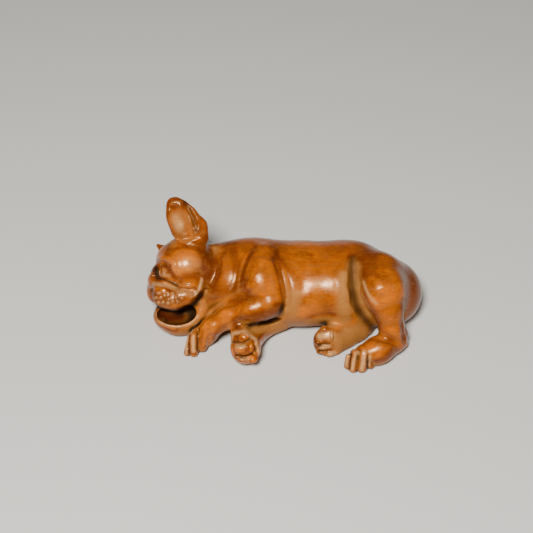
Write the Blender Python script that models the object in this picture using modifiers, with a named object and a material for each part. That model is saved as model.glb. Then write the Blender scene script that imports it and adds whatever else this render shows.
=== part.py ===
"""A small wood carving of a French bulldog asleep on its right side, cut from one block.

The dog lies with its back away from the viewer, its head at -X, its belly and legs towards -Y
and its left side up. The figure is worked the way a carver works: masses are blocked out from
rounded forms, hollows are cut, then folds and toes are drawn in with strokes of the gouge.
All places, radii and strokes are in carver's units, hundredths of the figure's own length.
Lines that show from the front are given as the viewer's eye sees them, across and up its view.
"""
import math

import bmesh
import bpy
import numpy as np
from mathutils import Matrix

# Driving dimension, in metres: nose side of the head to the rump, lying
LENGTH = 0.085
UNIT = LENGTH / 100

# Where the middle of the figure's footprint lies in the carver's own coordinates, in units
MIDDLE = (0.0, -6.7, 0.0)

# Fineness of the work, in units, and the facets left on the finished solid
ROUGH_GRAIN = 0.8
FINE_GRAIN = 0.7
FACETS = 9400
FEELER = 0.05

# Distances that count as far from a form, and the room around a form in which it matters
FAR = 8.0
ROOM = 4.0

# The viewer's eye: its distance from the figure's middle, its shift across and up, and the
# angle at which it looks down, in units and degrees
EYE_DISTANCE = 412
EYE_SHIFT = (-6.4, 15.8)
EYE_SLANT = 43

# How the head is held: tipped back from upright, and turned towards the viewer, in degrees
HEAD_ROLL = 33
HEAD_TURN = 20
HEAD_PLACE = (-34.7, 1.5, 20.5)

# Thickness of the pads on the paws, and the share of it that is sunk into the sole
PAD_THICKNESS = 1.6
PAD_SUNK = 0.3

# Direction in which the sole of the lower hind foot faces
SOLE_FACES = (0, -0.894, 0.447)

WOOD_COLOUR = (0.42, 0.17, 0.04, 1.0)
WOOD_ROUGHNESS = 0.35

SIDES = (1, -1)


def smooth_min(a, b, blend):
    """Lower of two distances, rounded over where they meet within the blend width."""
    overlap = np.maximum(blend - np.abs(a - b), 0.0) / blend
    return np.minimum(a, b) - overlap * overlap * blend / 4


def smooth_max(a, b, blend):
    """Higher of two distances, rounded over where they meet within the blend width."""
    return -smooth_min(-a, -b, blend)


def unit_vector(direction):
    """Direction as an array of length one."""
    direction = np.asarray(direction, float)
    return direction / np.linalg.norm(direction)


def within(points, low, high):
    """Numbers of the points that lie between two corners."""
    inside = np.ones(len(points), bool)
    for axis in range(3):
        inside &= (points[:, axis] > low[axis]) & (points[:, axis] < high[axis])
    return np.flatnonzero(inside)


class Stance:
    """A part's own place and three axes, from which its forms are set out."""

    def __init__(self, place, first, second, third):
        self.place = np.asarray(place, float)
        self.axes = np.array([unit_vector(axis) for axis in (first, second, third)])

    def at(self, first, second, third):
        """Point with these coordinates along the part's own axes."""
        return self.place + np.array([first, second, third]) @ self.axes

    def along(self, first, second, third):
        """Direction given along the part's own axes."""
        return np.array([first, second, third]) @ self.axes


WORLD = Stance((0, 0, 0), (1, 0, 0), (0, 1, 0), (0, 0, 1))


def view_stance(place):
    """Axes across and up the view, and towards the eye."""
    slant = math.radians(EYE_SLANT)
    return Stance(place, (1, 0, 0), (0, math.sin(slant), math.cos(slant)),
                  (0, -math.cos(slant), math.sin(slant)))


VIEW = view_stance((0, 0, 0))


class Egg:
    """Ellipsoid with its radii along the axes of a stance."""

    def __init__(self, centre, radii, stance=WORLD):
        self.centre = stance.at(*centre)
        self.radii = np.asarray(radii, float)
        self.axes = stance.axes
        reach = np.sqrt((self.radii ** 2) @ self.axes ** 2)
        self.low = self.centre - reach
        self.high = self.centre + reach

    def distance(self, points):
        """Distance of each point outside the egg, negative within."""
        local = (points - self.centre) @ self.axes.T
        near = np.linalg.norm(local / self.radii, axis=1)
        slope = np.linalg.norm(local / self.radii ** 2, axis=1)
        return near * (near - 1) / np.maximum(slope, 1e-6)

    def blocks(self):
        """Round blocks that rough out the egg: centre, radii and axes of each."""
        return [(self.centre, self.radii, self.axes)]


class Limb:
    """Round stations joined into one tapering form, pressed flat along a direction if wanted."""

    def __init__(self, stations, stance=WORLD, flat=None, thickness=1.0):
        self.centres = np.array([stance.at(*place) for place, radius in stations])
        self.radii = np.array([radius for place, radius in stations], float)
        self.press = np.eye(3)
        self.flattened = flat is not None
        if self.flattened:
            across = unit_vector(stance.along(*flat))
            self.press = np.eye(3) + (1 / thickness - 1) * np.outer(across, across)
        self.low = (self.centres - self.radii[:, None]).min(axis=0)
        self.high = (self.centres + self.radii[:, None]).max(axis=0)

    def distance(self, points):
        """Distance of each point outside the limb, negative within."""
        points = points @ self.press
        centres = self.centres @ self.press
        result = None
        for i in range(len(centres) - 1):
            run = centres[i + 1] - centres[i]
            share = np.clip((points - centres[i]) @ run / (run @ run), 0, 1)
            radius = self.radii[i] + share * (self.radii[i + 1] - self.radii[i])
            offset = points - centres[i] - share[:, None] * run
            length = np.maximum(np.linalg.norm(offset, axis=1), 1e-6)
            away = length - radius
            if self.flattened:
                away *= length / np.linalg.norm(offset @ self.press, axis=1)
            result = away if result is None else smooth_min(result, away, self.radii[i] / 2)
        return result

    def blocks(self):
        """Round blocks that rough out the limb, spaced under half a radius apart."""
        result = []
        for i in range(len(self.centres) - 1):
            run = self.centres[i + 1] - self.centres[i]
            count = 1 + int(np.linalg.norm(run) / (0.4 * min(self.radii[i], self.radii[i + 1])))
            for step in range(count + 1):
                share = step / count
                radius = self.radii[i] + share * (self.radii[i + 1] - self.radii[i])
                shape = np.linalg.inv(self.press) * radius
                result.append((self.centres[i] + share * run, (1, 1, 1), shape))
        return result


class Stroke:
    """A gouge stroke along a smooth line: it sinks the surface, or raises a fold if negative.

    Its points are given across, up and towards the eye. The gouge is held along the line of
    sight, so a difference in depth counts for less than one across.
    """

    HOLD = np.array([1, 1, 0.4])
    REACH = 2.6

    def __init__(self, points, width, depth, fade):
        self.line = smooth_line(points) * self.HOLD
        self.width = width
        self.depth = depth
        self.fade = fade
        margin = self.REACH * width
        self.low = (self.line.min(axis=0) - margin) / self.HOLD
        self.high = (self.line.max(axis=0) + margin) / self.HOLD

    def sink(self, points):
        """How far the surface sinks at each point."""
        near = points * self.HOLD
        nearest = np.full(len(near), np.inf)
        place = np.zeros(len(near))
        runs = np.diff(self.line, axis=0)
        lengths = np.linalg.norm(runs, axis=1)
        travelled = np.concatenate(([0], np.cumsum(lengths)))
        for i, run in enumerate(runs):
            share = np.clip((near - self.line[i]) @ run / (run @ run), 0, 1)
            away = np.linalg.norm(near - self.line[i] - share[:, None] * run, axis=1)
            closer = away < nearest
            nearest[closer] = away[closer]
            place[closer] = (travelled[i] + share[closer] * lengths[i]) / travelled[-1]
        ends = np.clip(np.minimum(place, 1 - place) / self.fade, 0, 1)
        ends = ends * ends * (3 - 2 * ends)
        return self.depth * ends * np.exp(-(nearest / self.width) ** 2)


def smooth_line(points, steps=4):
    """Rounded line through a few points, as a run of short straight ones."""
    points = np.asarray(points, float)
    first = 2 * points[0] - points[1]
    last = 2 * points[-1] - points[-2]
    padded = np.vstack([first, points, last])
    line = []
    for i in range(1, len(padded) - 2):
        before, start, end, after = padded[i - 1:i + 3]
        for share in np.arange(steps) / steps:
            line.append(0.5 * (2 * start + (end - before) * share
                               + (2 * before - 5 * start + 4 * end - after) * share ** 2
                               + (3 * start - before - 3 * end + after) * share ** 3))
    line.append(points[-1])
    return np.array(line)


class Carving:
    """The figure as masses added and hollows cut, in order, and then strokes drawn over them."""

    def __init__(self):
        self.steps = []
        self.deep = []
        self.drawn = []
        self.strokes = []

    def add(self, shape, blend):
        """Add a mass, melted into the rest over the blend width."""
        self.steps.append((shape, blend, True))

    def cut(self, shape, blend):
        """Cut a hollow, its rim rounded over the blend width."""
        self.steps.append((shape, blend, False))

    def cut_deep(self, shape, blend):
        """Cut a hollow that is also opened in the blocks before they are worked."""
        self.cut(shape, blend)
        self.deep.append(shape)

    def draw(self, seen, width, depth, fade=0.25):
        """Draw a gouge stroke on the surface, along a line given as the eye sees it."""
        self.drawn.append((seen, width, depth, fade))

    def land(self, seen):
        """Points of the surface, as it stands so far, that the eye sees across and up its view."""
        eye = VIEW.at(*EYE_SHIFT, EYE_DISTANCE)
        rays = np.array([VIEW.at(across, up, 0) for across, up in seen]) - eye
        rays /= np.linalg.norm(rays, axis=1, keepdims=True)
        reach = np.full(len(seen), EYE_DISTANCE - 80.0)
        for turn in range(80):
            reach += 0.5 * self.masses(eye + rays * reach[:, None])
        return eye + rays * reach[:, None]

    def land_strokes(self):
        """Place all the strokes drawn on the surface of the masses."""
        places = self.land([point for seen, width, depth, fade in self.drawn for point in seen])
        places = places @ VIEW.axes.T
        for seen, width, depth, fade in self.drawn:
            self.strokes.append(Stroke(places[:len(seen)], width, depth, fade))
            places = places[len(seen):]

    def masses(self, points):
        """Distance of each point outside the masses, before any strokes."""
        result = np.full(len(points), FAR)
        for shape, blend, added in self.steps:
            near = within(points, shape.low - blend - ROOM, shape.high + blend + ROOM)
            there = shape.distance(points[near])
            if added:
                result[near] = smooth_min(result[near], there, blend)
            else:
                result[near] = smooth_max(result[near], -there, blend)
        return np.maximum(np.minimum(result, FAR), -points[:, 2])

    def distance(self, points):
        """Distance of each point outside the figure, which is sanded flat where it rests."""
        result = self.masses(points)
        seen = points @ VIEW.axes.T
        for stroke in self.strokes:
            near = within(seen, stroke.low, stroke.high)
            if len(near):
                result[near] += stroke.sink(seen[near])
        return np.maximum(result, -points[:, 2])

    def mass_blocks(self):
        """Round blocks that rough out all the masses."""
        return [block for shape, blend, added in self.steps if added for block in shape.blocks()]

    def hollow_blocks(self):
        """Round blocks that rough out the deep hollows."""
        return [block for shape in self.deep for block in shape.blocks()]


def head_stance():
    """The head's own axes: forward to the nose, left towards the viewer, and up to the crown."""
    roll = math.radians(HEAD_ROLL)
    turn = math.radians(HEAD_TURN)
    level_left = np.array([0, -math.cos(roll), math.sin(roll)])
    level_forward = np.array([-1.0, 0, 0])
    forward = math.cos(turn) * level_forward + math.sin(turn) * level_left
    left = math.cos(turn) * level_left - math.sin(turn) * level_forward
    return Stance(HEAD_PLACE, forward, left, (0, math.sin(roll), math.cos(roll)))


def carve_trunk(dog):
    """Chest, waist, hips and rump, lying on their side, with the thick short neck."""
    dog.add(Egg((6, 1, 12.6), (26, 16.4, 14.5)), 4)
    dog.add(Egg((-12, 1, 13.2), (17, 16.4, 14.2)), 6)
    dog.add(Egg((24, 0.5, 13), (15, 16.2, 14.4)), 6)
    dog.add(Egg((37.2, -2, 11), (11.6, 12.4, 11.3)), 6)
    dog.add(Limb([((-12, 2, 14), 13), ((-24, 1.5, 15), 12.2)]), 4)
    dog.add(Limb([((44, 6, 11), 2.6), ((45.4, 7.5, 7.5), 1.8)]), 1.5)


def carve_head(dog, head):
    """Round skull, full cheeks, short muzzle with hanging lips, and the dropped lower jaw."""
    dog.add(Egg((-0.5, 0, 0), (10.6, 10.8, 10.6), head), 1.5)
    for side in SIDES:
        dog.add(Egg((-3, 4.5 * side, -6), (7.5, 6.2, 7), head), 4)
        dog.add(Egg((8.8, 4 * side, -8.2), (4.4, 4.2, 5.2), head), 2)
    dog.add(Egg((8, 0, -6), (4.4, 5, 5), head), 2)
    dog.add(Egg((9.9, -1, -4.4), (3.6, 3.6, 3.2), head), 2)
    dog.add(Egg((6.8, -3.2, 2.2), (2.3, 3.2, 3.6), head), 3)
    dog.add(Egg((9.4, 0, -1.4), (3, 3.4, 2.6), head), 1.5)
    for side in SIDES:
        lip = [((9.4, 4.4 * side, -9.9), 3.7), ((6.0, 6.4 * side, -10.3), 3.8),
               ((2.2, 7.8 * side, -8.9), 3.3), ((-1.2, 8.3 * side, -7.8), 2.0)]
        dog.add(Limb(lip, head, (0, 1, 0), 0.85), 0.8)
    jaw = [((7.3, 0, -17.4), 4.8), ((3.6, 0, -18.9), 5.2), ((-1.5, 0, -17.8), 6.5),
           ((-6.5, 0, -12.7), 8.5)]
    dog.add(Limb(jaw, head), 1)
    carve_mouth(dog, head)


def carve_mouth(dog, head):
    """Open mouth and nostrils: a cup in the lower jaw, a gap under each lip, and the tongue."""
    dog.cut_deep(Egg((3.6, 2.2, -16.6), (7.6, 5.4, 3.8), head), 0.5)
    for side in SIDES:
        dog.cut(Egg((12.2, 1.9 * side, -2.3), (1.1, 0.8, 0.9), head), 0.4)
    gap = [((6, 5, -16.4), 2.3), ((1.5, 7, -14.6), 2.8), ((-2.6, 8.4, -11), 2), ((-3.8, 9.6, -8.2), 1)]
    dog.cut_deep(Limb(gap, head), 0.5)
    tongue = [((8.6, 1.2, -18), 2.2), ((4, 1.4, -17.8), 2.8), ((-0.5, 1.6, -17.4), 2.6)]
    dog.add(Limb(tongue, head, (0, 0, 1), 0.6), 0.5)


def carve_near_ear(dog, head):
    """Upright ear on the upper side: a broad leaf, hollowed in front, with a wide outer flap."""
    rise = head.along(0.32, -0.1, 0.94)
    out = head.along(0.3, 0.95, 0)
    ear = Stance(head.at(0.8, 4.4, 10.6), rise, np.cross(rise, out), out)
    leaf = [((-1, 0.8, 0), 4.2), ((3.6, 0.5, 0), 4.5), ((8.4, 0.3, 0), 4.3), ((12.3, 0, 0), 2.9)]
    flap = [((-1, 3.7, 0), 3.7), ((2.5, 4.3, 0), 3.6), ((6.8, 3.3, 0), 2.8), ((10.3, 2, 0), 2.2)]
    bowl = [((2.2, -0.2, 1.7), 3.1), ((7.4, -0.3, 1.7), 2.8), ((11.2, -0.3, 1.5), 1.5)]
    dog.add(Limb(leaf, ear, (0, 0, 1), 0.34), 1.2)
    dog.add(Limb(flap, ear, (0, 0, 1), 0.4), 2)
    dog.cut(Limb(bowl, ear, (0, 0, 1), 0.5), 0.6)


def carve_far_ear(dog, head):
    """Ear on the lower side, laid outwards, so that only its tip clears the head."""
    leaf = [((0, -8, 1), 3.2), ((4.2, -10.2, 3.6), 2.7), ((6.9, -11.5, 5.8), 1)]
    dog.add(Limb(leaf, head, (0.45, -0.3, -0.83), 0.7), 1.2)


def carve_near_foreleg(dog):
    """Upper foreleg: shoulder, elbow against the chest, forearm and toes on the table."""
    dog.add(Limb([((-8, 1, 22), 6.8), ((-8.3, -7, 21.3), 7.4), ((-5.2, -13.5, 18), 5.3)]), 1.6)
    forearm = [((-5.2, -13.9, 17.4), 5.2), ((-11, -14.8, 15.4), 5), ((-19, -14.8, 12), 4.1),
               ((-25.3, -16.4, 8.6), 3.5), ((-27.4, -17.4, 7.2), 2.9)]
    dog.add(Limb(forearm), 1)
    dog.add(Egg((-30, -18.2, 4.2), (3.6, 3.2, 4.3)), 1.5)
    dog.add(Limb([((-26.2, -17, 5.2), 3.1), ((-27.2, -17.2, 2.6), 2.4)]), 1.2)
    toes = [((-32.6, -19.8, 6.6), (-34.1, -22.2, 1.2), 1.2),
            ((-31.2, -19.8, 7.2), (-31.8, -22.4, 1.6), 1.6),
            ((-27.6, -18, 8.4), (-29, -20.4, 2.6), 2)]
    for knuckle, tip, radius in toes:
        dog.add(Limb([(knuckle, radius * 1.1), (tip, radius)]), 0.4)


def carve_far_foreleg(dog):
    """Lower foreleg: it comes out under the elbow and shows the sole of its paw."""
    dog.add(Limb([((-3.3, -8.5, 5.5), 6), ((-9.4, -13.4, 5), 4.6), ((-13.4, -23, 6.4), 4.8)]), 2)
    paw = view_stance((-13.6, -25, 6.8))
    dog.add(Egg((0, 0, 0), (5.3, 5.7, 4.6), paw), 1)
    dog.add(Egg((-2.2, 4.8, -1.2), (3, 3.4, 3), paw), 1.5)
    elbow = [((-0.2, -15.2, 16.2), 0.7), ((-1.2, -14.3, 12.6), 1.1), ((-3.6, -14, 9.9), 1.1),
             ((-6.4, -14.8, 9.4), 1), ((-9.2, -17, 10.4), 0.5)]
    dog.cut(Limb(elbow), 0.4)
    add_pads(dog, [(-14.5, -10, 2.1, 1.8), (-15.6, -14, 2.4, 1.9), (-12, -13.6, 1.8, 2),
                   (-15, -18, 1.9, 1.1), (-11.5, -18, 1.9, 1.4), (-9.8, -15, 1.1, 2.1)])


def add_pads(dog, pads):
    """Pads on the sole of a paw, where the eye sees them: place across and up, and two radii."""
    places = dog.land([(across, up) for across, up, wide, high in pads])
    for place, (across, up, wide, high) in zip(places, pads):
        sole = view_stance(place)
        dog.add(Egg((0, 0, -PAD_SUNK * PAD_THICKNESS), (wide, high, PAD_THICKNESS), sole), 0.3)


def carve_near_hind_leg(dog):
    """Upper hind leg: heavy thigh, shin, and a long foot from the heel to four arched toes."""
    dog.add(Limb([((33, -3.1, 20), 8.1), ((33.1, -10.6, 20), 7.8), ((35.4, -15.9, 16), 5.2)]), 1.6)
    dog.add(Limb([((35.6, -15.9, 15.4), 5.1), ((36.4, -19, 10.6), 4.2), ((37.4, -19.8, 6), 4.6)]), 1.6)
    dog.add(Limb([((37.4, -19.8, 5), 4.8), ((32.5, -24, 4.9), 4.6), ((27.4, -26, 4.5), 3.7)]), 1.4)
    dog.add(Limb([((40.6, -16.8, 10.6), 1.5), ((41.2, -18.2, 6.4), 1.6), ((41.4, -18.8, 2.4), 1.9)]), 1)
    toes = [((22.1, -26.9, 3.9), (21.6, -28.3, 1.4), 1.4), ((23.9, -27, 5.8), (23.4, -29.4, 1.5), 1.8),
            ((26.9, -26.8, 5.9), (26.3, -29.2, 1.5), 2.0), ((29.7, -26, 5), (29.3, -28.2, 1.6), 1.5)]
    for knuckle, tip, radius in toes:
        dog.add(Limb([(knuckle, radius), (tip, radius)]), 0.35)
    dog.add(Egg((31.4, -26, 2.6), (3.2, 2.6, 2.6)), 1)


def carve_far_hind_leg(dog):
    """Lower hind leg: a broad flat foot from heel to paw, with pads on its sole."""
    dog.add(Limb([((23.4, -2.9, 8), 8), ((23.4, -8.4, 6), 5.6)]), 3)
    foot = [((15.6, -19.4, 4), 5.8), ((20.5, -15.8, 3.8), 5), ((25, -13.6, 3.4), 4.2),
            ((28.6, -12.2, 2.6), 2.7)]
    dog.add(Limb(foot, WORLD, SOLE_FACES, 0.55), 2.5)
    add_pads(dog, [(14.9, -7.1, 1.8, 1.3), (12.4, -11.8, 1.5, 1), (14.5, -13.8, 2.1, 1.1),
                   (13.5, -15.3, 1.8, 0.8), (16.6, -15.9, 1.8, 1.2), (17.3, -9.5, 0.7, 2)])


def carve_groin(dog):
    """Deep recess between the belly and the upper thigh, open to the table at its lower end."""
    recess = [((23.6, -1.5, 28.2), 1.0), ((23.6, -6, 26.3), 1.7), ((23.9, -10.8, 22.8), 2.1),
              ((25.4, -14, 18.2), 2.6), ((28.2, -15.8, 13.2), 3), ((31, -17, 8.4), 3),
              ((32.4, -17.6, 4), 2)]
    dog.cut_deep(Limb(recess), 0.8)


def draw_body(dog):
    """Recesses that part the limbs and head from the trunk, and the loose skin of the neck."""
    dog.draw([(-27.6, 25.8), (-25.8, 21.5), (-24.7, 17.1), (-25.5, 12.7), (-27.6, 9.1), (-29.5, 4.7)],
             1.5, 1.6)
    dog.draw([(-19.3, 25.1), (-18.2, 19.6), (-17.1, 14.5), (-18.2, 9.5), (-21.1, 4.4)], 1.1, 0.7)
    dog.draw([(-12.4, 21.5), (-15.3, 17.8), (-16.4, 13.8), (-16, 9.8), (-14.9, 7.3)], 1.2, 0.9)
    dog.draw([(-13.5, 12), (-14.5, 9.5), (-16.4, 6.9)], 1.5, 0.9, fade=0.1)
    dog.draw([(-4.4, 20.4), (-1.5, 14.9), (0.4, 9.1), (1.1, 3.3), (0, -1.8)], 1.2, 1.3)
    dog.draw([(0, 0.4), (-1.1, -2.5), (-4.7, -4), (-8.7, -4.9), (-12.7, -5.6)], 0.8, 1.5)
    dog.draw([(-10.2, 7.3), (-14.9, 6.5), (-19.3, 4.7), (-23.6, 2.2), (-27.3, -0.7), (-30.5, -5.8)],
             0.8, 0.9)
    dog.draw([(-12.7, -5.5), (-16, -6.4), (-18.9, -6.9)], 0.8, 0.6)
    dog.draw([(43.6, 7.3), (44, 1.8), (43.6, -3.3)], 1.2, 1)
    dog.draw([(42.5, -3.3), (43.1, -8), (43.8, -13.5)], 0.6, 0.9)
    dog.draw([(6.9, 18.9), (7.3, 11.6), (6.2, 4.4)], 2.5, 0.4)
    dog.draw([(17.5, 14.2), (19.6, 9.5), (18.9, 5.5), (16.4, 3.3)], 1.5, -0.2)


def draw_face(dog):
    """Closed eye under a heavy brow, the fold over the muzzle, nostril, lips and cheek line."""
    dog.draw([(-46.2, 17.8), (-44, 19.1), (-41.8, 18.5), (-40, 16.7), (-38.9, 14.2)], 1.1, -0.9)
    dog.draw([(-44.9, 15.3), (-43.3, 15.2), (-41.5, 14.2)], 1.5, 1.6, fade=0.1)
    dog.draw([(-43.4, 13.8), (-42.9, 15.3), (-42.2, 16.4)], 0.45, -0.6)
    dog.draw([(-42, 15.8), (-41.2, 14.2), (-40.2, 12.2)], 0.4, 0.6)
    dog.draw([(-45.1, 12.7), (-42.5, 12.9), (-40, 11.6), (-36.4, 10.4)], 0.9, 0.6)
    dog.draw([(-45.8, 11.3), (-43.3, 11.3), (-40.7, 10.4), (-38.2, 8.9), (-34.5, 8.5), (-31.3, 8.2)],
             0.7, -0.7)
    dog.draw([(-46.4, 10.9), (-44.4, 10.1), (-42.2, 9.2), (-39.6, 8.2), (-36.5, 7.5), (-33.5, 7.4),
              (-31, 8.6)], 0.55, 1)
    dog.draw([(-47.3, 8.7), (-44, 8.7), (-40.7, 8.2), (-37.1, 7.5), (-33.8, 7.1)], 0.8, 0.35)
    dog.draw([(-30.6, 12.8), (-29.6, 10.4), (-30.2, 7.8), (-32.2, 5.4), (-35.3, 3.2)], 0.5, -0.6)
    dog.draw([(-47.7, 10.9), (-48, 7.3), (-47.8, 2.2)], 0.5, 0.9, fade=0.1)


def draw_ear(dog):
    """Deep fold, ridge, pocket and rim of the upper ear, and the crease round its foot."""
    dog.draw([(-37.1, 39.4), (-35.3, 37), (-33.6, 34), (-32.4, 30.8), (-31.6, 27.8)], 0.9, 1.3)
    dog.draw([(-30.4, 32.8), (-29.8, 30.2), (-29.9, 27.6)], 1, 0.6)
    dog.draw([(-40.7, 27.6), (-38.5, 25.9), (-34.9, 26), (-31.6, 26.7), (-29.1, 26.5)], 0.6, 0.7)


def draw_paws(dog):
    """Grooves between the toes, and creases between the pads."""
    dog.draw([(-34.2, -9.8), (-34.7, -13.1), (-34.5, -16.7)], 0.6, 1.1, fade=0.1)
    dog.draw([(-30.9, -6.5), (-31.7, -10.5), (-31.6, -14.9)], 0.55, 1.2, fade=0.1)
    dog.draw([(-26.6, -8), (-27.1, -11), (-28.3, -13.7)], 0.5, 0.6)
    dog.draw([(-19.3, -12), (-16.7, -12.6), (-13.8, -11.7), (-12, -10.4)], 0.5, 1.4)
    dog.draw([(-17.8, -16.4), (-14.5, -17.2), (-11.3, -16.4)], 0.5, 1.4)
    dog.draw([(-11.1, -11.3), (-10.5, -14.2), (-11.6, -16.4)], 0.45, 1)
    dog.draw([(24.5, -15.3), (23.7, -18.5), (23.8, -21.5)], 0.4, 0.9, fade=0.15)
    dog.draw([(27.3, -14.9), (26.5, -18.5), (26.4, -22.2)], 0.4, 0.9, fade=0.15)
    dog.draw([(30.4, -14.9), (30.3, -18.5), (30.5, -21.6)], 0.4, 0.9, fade=0.15)
    dog.draw([(32.4, -16), (31.8, -18.9), (31.8, -21.5)], 0.4, 0.7, fade=0.15)


def sculpt():
    """The whole figure as a list of carving steps."""
    dog = Carving()
    head = head_stance()
    carve_trunk(dog)
    carve_head(dog, head)
    carve_near_ear(dog, head)
    carve_far_ear(dog, head)
    carve_near_foreleg(dog)
    carve_far_foreleg(dog)
    carve_near_hind_leg(dog)
    carve_far_hind_leg(dog)
    carve_groin(dog)
    draw_body(dog)
    draw_face(dog)
    draw_ear(dog)
    draw_paws(dog)
    dog.land_strokes()
    return dog


def rough_form(name, blocks):
    """Object of overlapping round blocks, melted into one closed form."""
    cluster = bmesh.new()
    for centre, radii, axes in blocks:
        shape = np.asarray(axes).T * np.asarray(radii)
        place = Matrix.Translation(centre) @ Matrix(shape.tolist()).to_4x4()
        bmesh.ops.create_icosphere(cluster, subdivisions=3, radius=1, matrix=place)
    form = bpy.data.objects.new(name, bpy.data.meshes.new(name))
    cluster.to_mesh(form.data)
    cluster.free()
    bpy.context.scene.collection.objects.link(form)
    apply_modifier(form, "REMESH", mode="VOXEL", voxel_size=ROUGH_GRAIN)
    return form


def apply_modifier(form, kind, **settings):
    """Run one modifier on the object and keep its result as the object's mesh."""
    modifier = form.modifiers.new(kind.title(), kind)
    for name, value in settings.items():
        setattr(modifier, name, value)
    evaluated = form.evaluated_get(bpy.context.evaluated_depsgraph_get())
    old_mesh = form.data
    form.data = bpy.data.meshes.new_from_object(evaluated)
    form.modifiers.clear()
    bpy.data.meshes.remove(old_mesh)


def feel(carving, points):
    """Distance of each point outside the carved surface, and the slope of that distance.

    The field is felt at the four corners of a small tetrahedron about each point.
    """
    corners = FEELER * np.array([(1, 1, 1), (1, -1, -1), (-1, 1, -1), (-1, -1, 1)])
    distance = np.zeros(len(points))
    slope = np.zeros_like(points)
    for corner in corners:
        felt = carving.distance(points + corner)
        distance += felt / 4
        slope += felt[:, None] * corner / (4 * FEELER ** 2)
    return distance, slope


def neighbour_mean(mesh, points):
    """Mean place of the vertices that each vertex shares an edge with."""
    ends = np.empty(len(mesh.edges) * 2, np.int32)
    mesh.edges.foreach_get("vertices", ends)
    ends = ends.reshape(-1, 2)
    count = np.bincount(ends.ravel(), minlength=len(points))
    total = np.zeros_like(points)
    for axis in range(3):
        for near, far in ((0, 1), (1, 0)):
            total[:, axis] += np.bincount(ends[:, near], points[ends[:, far], axis], len(points))
    return total / count[:, None]


def read_vertices(mesh, name):
    """Places or normals of the mesh's vertices."""
    values = np.empty(len(mesh.vertices) * 3, np.float32)
    mesh.vertices.foreach_get(name, values)
    return values.reshape(-1, 3).astype(float)


def settle(mesh, carving, rounds):
    """Move the vertices onto the carved surface and even out their spacing along it."""
    points = read_vertices(mesh, "co")
    for turn in range(rounds):
        distance, slope = feel(carving, points)
        steepness = np.maximum(np.linalg.norm(slope, axis=1), 0.25)
        outward = slope / steepness[:, None]
        points -= np.clip(distance / steepness, -1, 1)[:, None] * outward
        if turn < rounds - 2:
            drift = neighbour_mean(mesh, points) - points
            drift -= (drift * outward).sum(axis=1, keepdims=True) * outward
            points += drift / 2
    points[:, 2] = np.where(points[:, 2] < 2 * FEELER, 0, points[:, 2])
    mesh.vertices.foreach_set("co", points.astype(np.float32).ravel())
    mesh.update()


def wood():
    """Waxed, stained boxwood."""
    material = bpy.data.materials.new("waxed_boxwood")
    material.use_nodes = True
    shader = material.node_tree.nodes["Principled BSDF"]
    shader.inputs["Base Color"].default_value = WOOD_COLOUR
    shader.inputs["Roughness"].default_value = WOOD_ROUGHNESS
    shader.inputs["Metallic"].default_value = 0
    return material


def carve(carving, grains):
    """The figure as one object: masses less hollows, then worked finer, grain by grain."""
    dog = rough_form("dog_carving", carving.mass_blocks())
    hollows = rough_form("hollows", carving.hollow_blocks())
    apply_modifier(dog, "BOOLEAN", operation="DIFFERENCE", object=hollows, solver="EXACT")
    bpy.data.objects.remove(hollows)
    for grain in grains:
        apply_modifier(dog, "REMESH", mode="VOXEL", voxel_size=grain)
        settle(dog.data, carving, rounds=6)
    return dog


def build_dog():
    """The carving as one closed solid, in metres, resting on the table plane."""
    dog = carve(sculpt(), (ROUGH_GRAIN, FINE_GRAIN))
    parts = bpy.data.collections.new("sleeping_dog")
    bpy.context.scene.collection.children.link(parts)
    parts.objects.link(dog)
    bpy.context.scene.collection.objects.unlink(dog)
    triangles = sum(len(face.vertices) - 2 for face in dog.data.polygons)
    apply_modifier(dog, "DECIMATE", ratio=FACETS / triangles)
    dog.data.transform(Matrix.Scale(UNIT, 4) @ Matrix.Translation([-share for share in MIDDLE]))
    dog.data.name = "dog_carving"
    dog.data.materials.append(wood())
    dog.data.shade_smooth()
    return dog


for leftover in list(bpy.data.objects):
    bpy.data.objects.remove(leftover)
build_dog()
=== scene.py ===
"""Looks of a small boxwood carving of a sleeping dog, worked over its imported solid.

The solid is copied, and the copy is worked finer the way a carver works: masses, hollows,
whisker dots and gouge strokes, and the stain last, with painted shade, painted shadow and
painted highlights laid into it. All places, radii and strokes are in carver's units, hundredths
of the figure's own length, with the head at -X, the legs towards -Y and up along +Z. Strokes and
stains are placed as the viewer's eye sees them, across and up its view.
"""
import logging
import math
from dataclasses import dataclass, field
from enum import Enum

import bpy
import numpy as np
from mathutils import Matrix, Vector

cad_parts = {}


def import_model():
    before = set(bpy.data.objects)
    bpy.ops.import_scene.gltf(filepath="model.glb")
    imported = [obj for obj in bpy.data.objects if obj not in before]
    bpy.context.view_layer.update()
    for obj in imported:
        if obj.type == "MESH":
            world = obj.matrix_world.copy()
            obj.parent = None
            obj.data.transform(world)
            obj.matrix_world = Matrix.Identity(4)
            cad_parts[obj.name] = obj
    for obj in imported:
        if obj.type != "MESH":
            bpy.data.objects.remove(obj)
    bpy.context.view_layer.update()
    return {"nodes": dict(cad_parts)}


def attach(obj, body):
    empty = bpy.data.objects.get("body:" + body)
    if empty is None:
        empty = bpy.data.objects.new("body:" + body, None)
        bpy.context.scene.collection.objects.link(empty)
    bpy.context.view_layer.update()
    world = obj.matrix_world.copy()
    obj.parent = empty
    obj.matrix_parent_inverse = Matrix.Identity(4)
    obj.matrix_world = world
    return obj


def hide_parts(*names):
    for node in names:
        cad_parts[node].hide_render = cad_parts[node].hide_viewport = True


LOG = logging.getLogger("sleeping_dog")

NODE = "dog_carving"
SLOT = "waxed_boxwood"
BODY = "root"

# Length over all in metres, and the carver's unit
LENGTH = 0.085
UNIT = LENGTH / 100
MILLIMETRE = 0.001

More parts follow.
